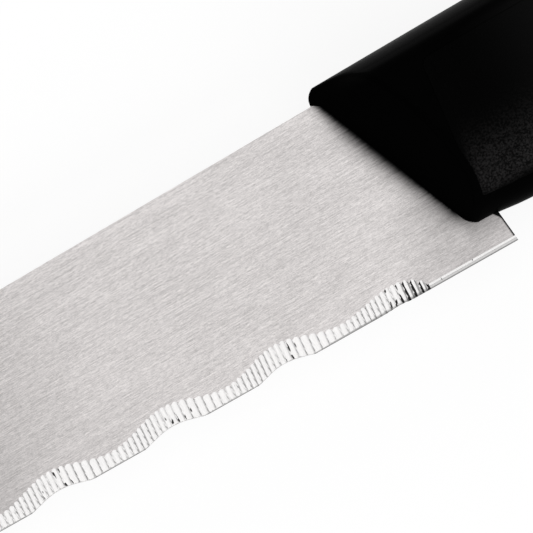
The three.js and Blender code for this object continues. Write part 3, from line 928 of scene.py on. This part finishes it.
# %% Making a finish
class Finish:
    """A material and its nodes."""

    def __init__(self, name):
        self.material = finish_named(name)
        self.material.use_nodes = True
        self.tree = self.material.node_tree
        self.tree.nodes.clear()
        self.place = self.node("ShaderNodeTexCoord").outputs["Object"]

    def node(self, kind, settings=None, inputs=None):
        """Adds a node: its settings are set first, then the values or links of its sockets."""
        made = self.tree.nodes.new(kind)
        for setting, value in (settings or {}).items():
            if setting == "stops":
                self.set_stops(made.color_ramp, value)
            else:
                setattr(made, setting, value)
        for socket, value in (inputs or {}).items():
            source = value.socket if isinstance(value, Field) else value
            if isinstance(source, bpy.types.NodeSocket):
                self.tree.links.new(source, made.inputs[socket])
            else:
                made.inputs[socket].default_value = source
        return made

    def set_stops(self, ramp, stops):
        while len(ramp.elements) < len(stops):
            ramp.elements.new(1)
        for element, (position, colour) in zip(ramp.elements, stops):
            element.position, element.color = position, (*colour, 1)

    def noise(self, length, width, detail=2, roughness=0.5):
        """Soft noise from 0 to 1.

        Its bumps lie the length apart along the blade and the width apart across it, in millimetres.
        """
        scale = [1 / (size * MM) for size in (length, width, width)]
        spot = self.node("ShaderNodeMapping", {}, {"Vector": self.place, "Scale": scale}).outputs[0]
        sockets = {"Vector": spot, "Scale": 1.0, "Detail": detail, "Roughness": roughness}
        return Field(self, self.node("ShaderNodeTexNoise", {"noise_dimensions": "3D"}, sockets).outputs[0])

    def drawing(self, axis):
        """The place along one axis of the drawing, in millimetres."""
        spot = Field(self, self.node("ShaderNodeSeparateXYZ", {}, {0: self.place}).outputs[axis])
        return (spot - drawing_origin["XYZ".index(axis)]) / MM

    def rise(self, axis, low, high):
        """A smooth step over the knife: 0 at low and 1 at high along one axis of the drawing."""
        sockets = {"Value": self.drawing(axis), "From Min": low, "From Max": high}
        made = self.node("ShaderNodeMapRange", {"interpolation_type": "SMOOTHSTEP"}, sockets)
        return Field(self, made.outputs[0])

    def ramp(self, field, *stops):
        greys = [(position, (tone, tone, tone)) for position, tone in stops]
        made = self.node("ShaderNodeValToRGB", {"stops": greys}, {"Fac": field})
        return Field(self, made.outputs[0])

    def mix(self, share, first, second):
        """A colour between two colours."""
        sockets = {0: share, 6: (*first, 1), 7: (*second, 1)}
        return self.node("ShaderNodeMix", {"data_type": "RGBA"}, sockets).outputs[2]

    def bump(self, height, strength, distance):
        sockets = {"Height": height, "Strength": strength, "Distance": distance * MM}
        return self.node("ShaderNodeBump", {}, sockets).outputs[0]

    def surface(self, **sockets):
        inputs = {name.replace("_", " "): value for name, value in sockets.items()}
        shader = self.node("ShaderNodeBsdfPrincipled", {}, inputs)
        self.node("ShaderNodeOutputMaterial", {}, {"Surface": shader.outputs[0]})
        return self.material


print("finishes so far:", [m.name for m in blade.data.materials])

# %% [markdown]
# Brushed steel is full of fine scratches along the blade. A picture of real steel could be wrapped round
# it, but noise that is stretched along the blade never repeats and stays sharp from close by. It comes in
# several sizes: long and short hairlines, a fine grit, broader streaks that the eye can follow, the faint
# mottle of the rolled sheet, and a few dark pits. The tone of the steel is the sum of these patterns,
# each with its own share, and the pits darken it.

# %% Brushed steel: scratches
HAIRLINE_LENGTH, SHORT_HAIRLINE_LENGTH, HAIRLINE_WIDTH = 5, 0.7, 0.09
LONG_SHARE, SHORT_SHARE = 0.45, 0.55
GRIT_LENGTH, GRIT_WIDTH = 0.2, 0.13
STREAK_LENGTH, STREAK_WIDTH, STREAK_ROUGHNESS = 14, 0.3, 0.6
MOTTLE_LENGTH, MOTTLE_WIDTH = 16, 6
HAIRLINE_SHARE, GRIT_SHARE, STREAK_SHARE, MOTTLE_SHARE = 0.6, 0.22, 0.1, 0.08
STEEL_DARK, STEEL_LIGHT = (0.375, 0.54), (0.625, 0.97)
PIT_LENGTH, PIT_WIDTH = 0.4, 0.22
PIT_RIM, PIT_FLOOR = (0.8, 1), (0.84, 0.3)


def hairline_pattern(finish):
    long_ones = finish.noise(HAIRLINE_LENGTH, HAIRLINE_WIDTH)
    short_ones = finish.noise(SHORT_HAIRLINE_LENGTH, HAIRLINE_WIDTH, detail=1)
    return long_ones * LONG_SHARE + short_ones * SHORT_SHARE


def scratched_tone(finish, hairlines, streaks):
    """How bright the steel is from place to place, by its scratches alone."""
    grit = finish.noise(GRIT_LENGTH, GRIT_WIDTH, detail=1)
    mottle = finish.noise(MOTTLE_LENGTH, MOTTLE_WIDTH)
    fine = hairlines * HAIRLINE_SHARE + grit * GRIT_SHARE
    tone = finish.ramp(fine + streaks * STREAK_SHARE + mottle * MOTTLE_SHARE, STEEL_DARK, STEEL_LIGHT)
    return tone * finish.ramp(finish.noise(PIT_LENGTH, PIT_WIDTH, detail=1), PIT_RIM, PIT_FLOOR)


print("hairlines", HAIRLINE_WIDTH, "mm wide,", SHORT_HAIRLINE_LENGTH, "to", HAIRLINE_LENGTH, "mm long")

# %% [markdown]
# The black handle darkens the steel next to it. A lamp that is placed for it could make that shade, but
# the three lamps of this scene don't, so it is worked into the colour. It fades away from the nose over a
# millimetre or two: least at the spine, most in the middle, and more softly towards the lower corner.
# Weaker painted shades lie in the corner at the heel and right below the tip of the nose, a painted shade
# darkens the blade slowly towards its point, and painted shade darkens the sheared edge at the rear of the
# heel.

# %% Brushed steel: shade beside the handle
NOSE_SHADE_TOP, NOSE_SHADE_GROWTH, NOSE_SHADE_LESS = 0.75, 0.88, 0.35
NOSE_SHADE_POWER, NOSE_SHADE_SOFTER = 1.8, 0.6
NOSE_SHADE_STREAKS = 0.5
SHADE_GROWS_Y, SHADE_SOFTENS_Y, SHADE_ENDS_Y = (1, -8), (-12, -21), (-26.5, -22.5)
CORNER_SHADE, CORNER_X, CORNER_Y = 0.2, (-4, 9), (-15, -22)
UNDER_TIP_SHADE, UNDER_TIP_X, UNDER_TIP_Y = 0.32, (8.5, 11), (-28.8, -25.9)
FORWARD_SHADE, FORWARD_X = 0.24, (-42, -75)
REAR_RIM, REAR_RIM_GROWTH, REAR_RIM_FADE = 0.12, 0.7, 0.2
REAR_RIM_GROWS_Y = (-26.8, -25.3)


def handle_shade(finish, streaks):
    """Painted shade: 1 in the open, falling to 0 where the nose meets the steel."""
    x, y = finish.drawing("X"), finish.drawing("Y")
    nose_x = BACK_TOP + y * ((BACK_TOP - BACK_LOW) / -front_bottom - rake_run)
    from_nose = (nose_x - x + (streaks - 0.5) * NOSE_SHADE_STREAKS).at_least(0)
    lower = finish.rise("Y", *SHADE_SOFTENS_Y)
    grown = NOSE_SHADE_TOP + NOSE_SHADE_GROWTH * finish.rise("Y", *SHADE_GROWS_Y)
    half_shade = grown - NOSE_SHADE_LESS * lower
    power = NOSE_SHADE_POWER - NOSE_SHADE_SOFTER * lower
    beside_nose = 2 ** ((from_nose / half_shade) ** power * -1) * finish.rise("Y", *SHADE_ENDS_Y)
    corner = finish.rise("X", *CORNER_X) * finish.rise("Y", *CORNER_Y) * CORNER_SHADE
    under_tip = finish.rise("X", *UNDER_TIP_X) * finish.rise("Y", *UNDER_TIP_Y) * UNDER_TIP_SHADE
    # painted shade that darkens the blade slowly towards its point
    forward = finish.rise("X", *FORWARD_X) * FORWARD_SHADE
    return (1 - beside_nose) * (1 - corner) * (1 - under_tip) * (1 - forward)


def rear_edge_shade(finish):
    """Painted shade: 0 along the sheared edge at the rear of the heel, wider next to the handle, and 1 on
    the open face.
    """
    x, y = finish.drawing("X"), finish.drawing("Y")
    from_rear = heel.x - x - (y + HEEL_DEPTH) * math.tan(HEEL_LEAN)
    # painted shade along the rear edge of the heel, wider next to the handle
    from_dark = from_rear - REAR_RIM - REAR_RIM_GROWTH * finish.rise("Y", *REAR_RIM_GROWS_Y)
    return (from_dark / REAR_RIM_FADE).clipped()


print("shade beside the nose halves in", NOSE_SHADE_TOP, "to", NOSE_SHADE_TOP + NOSE_SHADE_GROWTH, "mm")

# %% [markdown]
# Now the brushed finish is put together. Steel mirrors what is round it, so it is a full metal of
# middling roughness, and the streaks that tint it also roughen it a little. Streaks and hairlines
# together stand up as a very low relief, which bump gives without adding faces.

# %% Brushed steel
STEEL_SHADED, STEEL_COLOUR = (0.004, 0.004, 0.004), (0.92, 0.881, 0.872)
STEEL_ROUGHNESS, STREAK_ROUGHENING = 0.36, 0.14
HAIRLINE_RELIEF, STREAK_RELIEF = 0.6, 0.4
RELIEF_STRENGTH, RELIEF_HEIGHT = 0.5, 0.03


def brushed_steel():
    finish = Finish("brushed_steel")
    hairlines = hairline_pattern(finish)
    streaks = finish.noise(STREAK_LENGTH, STREAK_WIDTH, detail=3, roughness=STREAK_ROUGHNESS)
    tone = scratched_tone(finish, hairlines, streaks) * handle_shade(finish, streaks) * rear_edge_shade(finish)
    scratches = hairlines * HAIRLINE_RELIEF + streaks * STREAK_RELIEF
    return finish.surface(
        Base_Color=finish.mix(tone, STEEL_SHADED, STEEL_COLOUR),
        Metallic=1.0,
        Roughness=STEEL_ROUGHNESS + STREAK_ROUGHENING * streaks,
        Normal=finish.bump(scratches, RELIEF_STRENGTH, RELIEF_HEIGHT),
    )


print("brushed steel:", len(brushed_steel().node_tree.nodes), "nodes")

# %% [markdown]
# The ground flutes and bevels are brighter than the face, with short marks across the edge from the wheel
# and a dark line of painted shade along the edge itself. Dark marks are painted into the flutes as shade:
# on the flanks that face the handle, as a painted reflection of the dark handle, near the heel and on the
# crest of each wave. The Normal of the Geometry node tells which flank a place lies on, so the dark lines
# follow the flutes without being drawn one by one.

# %% Painted shade in the flutes
FLUTES_FROM_X = (1.4, 0.9)
SHADED_FLUTES_X, FIRST_GAPS_X = (-6, -0.5), (-3, -1)
STRIPES_AT, STRIPES_SHARE, STRIPES_FROM, STRIPES_FROM_X = -19.5, 1.05, 0.78, (-8, -12)
END_PATCH, END_PATCH_X, END_PATCH_END_X = 0.6, (0.7, 0.9), (1.6, 1.4)
LOW_END, LOW_END_FALL, LOW_END_LEAST = 1.3, 0.4, 0.5
FLUTE_SHADE_WIDTH, FLUTE_SHADE_LENGTH = 0.5, 1.8
FLUTE_SHADE_ON_FLANKS, FIRST_GAPS = 1.5, 2
FLUTE_SHADE_FROM, FLUTE_SHADE_EDGE, FLUTE_SHADE_TONE = 0.74, 0.05, 0.03


def flute_shade_tone(finish, from_edge):
    """1 on open steel, near 0 where dark marks are painted as shade."""
    on_flutes = finish.rise("X", *FLUTES_FROM_X)
    turn = (finish.drawing("X") - STRIPES_AT) * (2 * math.pi / WAVE_PITCH)
    crests = finish.ramp(turn.cosine(), (STRIPES_FROM, 0), (1, STRIPES_SHARE))
    on_waves = crests * finish.rise("X", *STRIPES_FROM_X)
    shaded_flutes = (finish.rise("X", *SHADED_FLUTES_X) * on_flutes).at_least(on_waves)
    facing = finish.node("ShaderNodeNewGeometry").outputs["Normal"]
    to_handle = Field(finish, finish.node("ShaderNodeSeparateXYZ", {}, {0: facing}).outputs["X"])
    low_end = (LOW_END - LOW_END_FALL * from_edge).at_least(LOW_END_LEAST)
    first_gaps = finish.rise("X", *FIRST_GAPS_X) * on_flutes * FIRST_GAPS
    # painted shade: flanks that face the handle are painted dark, as a painted reflection of the dark
    # handle
    in_gaps = shaded_flutes * low_end * to_handle * (FLUTE_SHADE_ON_FLANKS + first_gaps)
    end_patch = finish.rise("X", *END_PATCH_X) * finish.rise("X", *END_PATCH_END_X) * END_PATCH
    painted_shade = finish.noise(FLUTE_SHADE_WIDTH, FLUTE_SHADE_LENGTH, detail=1) + in_gaps + end_patch
    return finish.ramp(painted_shade, (FLUTE_SHADE_FROM, 1), (FLUTE_SHADE_FROM + FLUTE_SHADE_EDGE, FLUTE_SHADE_TONE))


print("residue stripes every", WAVE_PITCH, "mm")

# %% [markdown]
# The wheel marks run across the edge, so this noise is stretched the other way. The dark line along the
# edge is painted shade, wider under the first flutes. Its width is measured from the straight line of the
# edge, which is simpler than drawing it onto the steel and stays true when the blade is made longer.

# %% Ground steel
MARK_WIDTH, MARK_LENGTH, CLOUD_SIZE = 0.06, 1.2, 0.7
MARK_SHARE, CLOUD_SHARE = 0.6, 0.4
GROUND_DARK, GROUND_LIGHT = (0.3, 0.72), (0.7, 0.88)
EDGE_TAPER = (HEEL_DEPTH - SWEEP_DEPTH) / (heel.x - sweep_start.x)
RIM_WIDTH, RIM_GROWTH, RIM_TONE, RIM_GROWS_X = 0.25, 0.3, 0.35, (-20, -1)
BLACK, GROUND_COLOUR = (0, 0, 0), (0.86, 0.848, 0.842)
GROUND_ROUGHNESS, CLOUD_ROUGHENING = 0.24, 0.1
MARK_STRENGTH, MARK_HEIGHT = 0.25, 0.01


def ground_steel():
    finish = Finish("ground_steel")
    marks = finish.noise(MARK_WIDTH, MARK_LENGTH)
    cloud = finish.noise(CLOUD_SIZE, CLOUD_SIZE)
    tone = finish.ramp(marks * MARK_SHARE + cloud * CLOUD_SHARE, GROUND_DARK, GROUND_LIGHT)
    from_edge = finish.drawing("Y") + HEEL_DEPTH + (finish.drawing("X") - heel.x) * EDGE_TAPER
    growth = finish.rise("X", *RIM_GROWS_X) * finish.rise("X", *FLUTES_FROM_X)
    # painted shade: a dark line along the cutting edge
    rim = (from_edge / (RIM_WIDTH + RIM_GROWTH * growth)).at_least(RIM_TONE).at_most(1)
    return finish.surface(
        Base_Color=finish.mix(tone * rim * flute_shade_tone(finish, from_edge), BLACK, GROUND_COLOUR),
        Metallic=1.0,
        Roughness=GROUND_ROUGHNESS + CLOUD_ROUGHENING * cloud,
        Normal=finish.bump(marks, MARK_STRENGTH, MARK_HEIGHT),
    )


print("ground steel:", len(ground_steel().node_tree.nodes), "nodes")

# %% [markdown]
# The hard plastic is smooth satin black with the faint waviness of a moulding and a little dust. Black
# plastic shows almost nothing but reflections, so its colour is near black and a thin coat gives it its
# shine: along the top of the handle, and further back where a hand has polished it. That shine varies
# through the coat's weight, because the export would drop a specular level that varies.

# %% Smooth black plastic
WAVINESS_SIZE, DUST_SIZE, DUST_DETAIL, DUST_FINENESS = 6, 0.5, 3, 0.6
DEEP_BLACK, SOFT_BLACK = (0.0004, 0.0004, 0.0004), (0.0008, 0.0008, 0.0008)
WAVINESS_RELIEF, DUST_RELIEF = 0.8, 0.2
MOULDED_STRENGTH, MOULDED_HEIGHT = 0.2, 0.05
POLISH, POLISH_Y, POLISH_X = 0.15, (-1.4, 2.2), (3, 9)
RIDGE_DULLED, RIDGE_Y = 0.85, (0.8, 1.9)
HELD_POLISH, HELD_X = 0.15, (20, 45)
SATIN_ROUGHNESS, DUST_ROUGHENING = 0.34, 0.12
SATIN_SPECULAR, SATIN_COAT_ROUGHNESS = 0.006, 0.3


def smooth_black():
    finish = Finish("smooth_black_plastic")
    waviness = finish.noise(WAVINESS_SIZE, WAVINESS_SIZE)
    dust = finish.noise(DUST_SIZE, DUST_SIZE, detail=DUST_DETAIL, roughness=DUST_FINENESS)
    skin = waviness * WAVINESS_RELIEF + dust * DUST_RELIEF
    ridge = 1 - RIDGE_DULLED * finish.rise("Y", *RIDGE_Y)
    polish = finish.rise("Y", *POLISH_Y) * finish.rise("X", *POLISH_X) * ridge * POLISH
    return finish.surface(
        Base_Color=finish.mix(waviness, DEEP_BLACK, SOFT_BLACK),
        Roughness=SATIN_ROUGHNESS + DUST_ROUGHENING * dust,
        Normal=finish.bump(skin, MOULDED_STRENGTH, MOULDED_HEIGHT),
        Specular_IOR_Level=SATIN_SPECULAR,
        Coat_Weight=polish.at_least(finish.rise("X", *HELD_X) * HELD_POLISH),
        Coat_Roughness=SATIN_COAT_ROUGHNESS,
    )


handle.data.materials.clear()
handle.data.materials.append(smooth_black())
print("handle finish:", handle.data.materials[0].name)

# %% [markdown]
# The panels have a fine sparked grain: their mould is pitted by small electric sparks, and the plastic
# takes the print of it as tiny rounded bumps. Modelling them would take millions of faces, so noise does it
# as bump. The grain catches the light most on the lower part of the side, and that part is also painted
# lighter grey through the grain, as painted light.

# %% Grained black grip
GRAIN_SIZE, GRAIN_FINENESS, COARSE_SIZE = 0.32, 0.6, 1.6
GRAIN_SHARE, COARSE_SHARE = 0.8, 0.2
GRAIN_LOW, GRAIN_HIGH = (0.42, 0), (0.62, 1)
PAINTED_LIGHT_Y, PAINTED_LIGHT_END_Y, PAINTED_LIGHT_FADE = (-9, -21.5), (-23.6, -21.5), 1.6
PAINTED_LIGHT_FLOOR, PAINTED_LIGHT_GRAIN = 0.12, 0.88
GRIP_BLACK, GRIP_PAINTED_LIGHT = (0.0003, 0.0003, 0.0003), (0.024, 0.0228, 0.023)
GRAIN_STRENGTH, GRAIN_HEIGHT = 0.6, 0.05
GRIP_ROUGHNESS, GRAIN_SMOOTHING = 0.5, 0.12
GRIP_SPECULAR, GRIP_COAT_ROUGHNESS = 0.015, 0.42

panel_front = front_foot + PANEL_SETBACK
panel_low = low_at(panel_front) + PANEL_LOW_MARGIN


def grained_black():
    finish = Finish("grained_black_grip")
    bumps = finish.noise(GRAIN_SIZE, GRAIN_SIZE, roughness=GRAIN_FINENESS)
    coarse = finish.noise(COARSE_SIZE, COARSE_SIZE)
    grain = finish.ramp(bumps * GRAIN_SHARE + coarse * COARSE_SHARE, GRAIN_LOW, GRAIN_HIGH)
    low = finish.rise("Y", *PAINTED_LIGHT_Y)
    from_front = finish.drawing("X") - PANEL_LEAN * (finish.drawing("Y") - panel_low) - panel_front
    edge_fade = (from_front / PAINTED_LIGHT_FADE).clipped() * finish.rise("Y", *PAINTED_LIGHT_END_Y)
    # painted light: the lower part of the side is painted lighter grey through the grain
    painted_light = low * low * edge_fade * (PAINTED_LIGHT_FLOOR + PAINTED_LIGHT_GRAIN * grain)
    return finish.surface(
        Base_Color=finish.mix(painted_light, GRIP_BLACK, GRIP_PAINTED_LIGHT),
        Roughness=GRIP_ROUGHNESS - GRAIN_SMOOTHING * grain,
        Normal=finish.bump(grain, GRAIN_STRENGTH, GRAIN_HEIGHT),
        Specular_IOR_Level=GRIP_SPECULAR,
        Coat_Weight=finish.rise("X", *HELD_X) * HELD_POLISH,
        Coat_Roughness=GRIP_COAT_ROUGHNESS,
    )


grip_finish = grained_black()
for panel in (panel_left, panel_right):
    panel.data.materials.clear()
    panel.data.materials.append(grip_finish)
print("panel finish:", grip_finish.name)

# %% [markdown]
# The knife lies on a wide white floor. A floor that is only painted white would come out grey in this
# light. So Light Path mixes a glow into the paint, for the camera and for reflections alone: the glow and
# the lit paint together make white, and the painted share keeps a soft shadow of the knife.

# %% White floor
FLOOR_HALF = 6
FLOOR_PAINT, WHITE = (0.9, 0.9, 0.9, 1), (1, 1, 1, 1)
SHADOW_SHARE = 0.2
LIT_FLOOR = 0.66


def white_floor():
    finish = Finish("white_floor")
    rays = finish.node("ShaderNodeLightPath").outputs
    seen = Field(finish, rays["Is Camera Ray"])
    for mirrored in ("Is Glossy Ray", "Is Transmission Ray"):
        seen = seen.at_least(Field(finish, rays[mirrored]))
    paint = finish.node("ShaderNodeBsdfDiffuse", {}, {"Color": FLOOR_PAINT}).outputs[0]
    strength = (1 - SHADOW_SHARE * LIT_FLOOR) / (1 - SHADOW_SHARE)
    glow = finish.node("ShaderNodeEmission", {}, {"Color": WHITE, "Strength": strength}).outputs[0]
    sockets = {0: seen * (1 - SHADOW_SHARE), 1: paint, 2: glow}
    both = finish.node("ShaderNodeMixShader", {}, sockets).outputs[0]
    finish.node("ShaderNodeOutputMaterial", {}, {"Surface": both})
    return finish.material


bpy.ops.object.select_all(action="DESELECT")
bpy.ops.mesh.primitive_plane_add(size=2 * FLOOR_HALF)
floor = new_piece("floor")
floor.data.materials.append(white_floor())
print("floor", [round(x, 1) for x in floor.dimensions], "m")

# %% [markdown]
# Three soft lights make the picture. The largest hangs above and is what the brushed face mirrors, a long
# low one on the side of the cutting edge makes the flutes bright, and a small one on the side of the
# spine draws the top of the handle. An even grey world fills in the rest. Small lamps would leave hard
# spots on the steel.

# %% Lights
AMBIENT = 0.3
LIGHT_AIM = (15, -12)


def add_soft_light(name, place, width, length, radiance):
    """A rectangular soft light that faces the knife."""
    light = bpy.data.lights.new(name, "AREA")
    light.shape = "RECTANGLE"
    light.size, light.size_y = width, length
    light.energy = radiance * math.pi * width * length
    lamp = bpy.data.objects.new(name, light)
    bpy.context.collection.objects.link(lamp)
    lamp.location = place
    lamp.rotation_euler = (at(*LIGHT_AIM) - Vector(place)).to_track_quat("-Z", "Y").to_euler()


add_soft_light("top_light", place=(0.35, 0.0, 1.6), width=1.6, length=1.6, radiance=0.95)
add_soft_light("edge_side_light", place=(0.0, -1.05, 0.764), width=2.6, length=0.74, radiance=1.25)
add_soft_light("spine_side_light", place=(0.0, 0.95, 0.35), width=1.2, length=0.5, radiance=1.2)
world = bpy.data.worlds.new("studio")
bpy.context.scene.world = world
world.use_nodes = True
world.node_tree.nodes["Background"].inputs["Color"].default_value = WHITE
world.node_tree.nodes["Background"].inputs["Strength"].default_value = AMBIENT
bpy.context.scene.view_settings.view_transform = "Standard"

# %% [markdown]
# The picture was taken from straight above with a long lens, close in on the heel of the blade and the
# nose of the handle, and the knife runs up to the right. The lens is worked out from the width that the
# picture shows.

# %% Camera
VIEW_WIDTH = 74.0
VIEW_CENTRE = (-16.6, -15.98)
VIEW_TURN = math.radians(30.44)
CAMERA_HEIGHT = 0.9
NEAREST, FARTHEST = 0.01, 50

camera_data = bpy.data.cameras.new("camera")
camera = bpy.data.objects.new("camera", camera_data)
bpy.context.collection.objects.link(camera)
camera.location = at(*VIEW_CENTRE) + Vector((0, 0, CAMERA_HEIGHT))
camera.rotation_euler = (0, 0, -VIEW_TURN)
camera_data.lens = camera_data.sensor_width * CAMERA_HEIGHT / (VIEW_WIDTH * MM)
camera_data.clip_start, camera_data.clip_end = NEAREST, FARTHEST
bpy.context.scene.camera = camera
print("lens", round(camera_data.lens, 1), "mm")

# %% [markdown]
# Each finished piece takes the place of its measured solid and rides on the knife's one body.

# %% Hand over
for piece, node, slot in (
    (blade, "blade", "blade_steel"),
    (handle, "handle_body", "smooth_black_plastic"),
    (panel_left, "grip_inlay_left", "grained_black_grip"),
    (panel_right, "grip_inlay_right", "grained_black_grip"),
):
    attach(piece, "root")
    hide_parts(node)
bpy.data.objects.remove(grip_form)
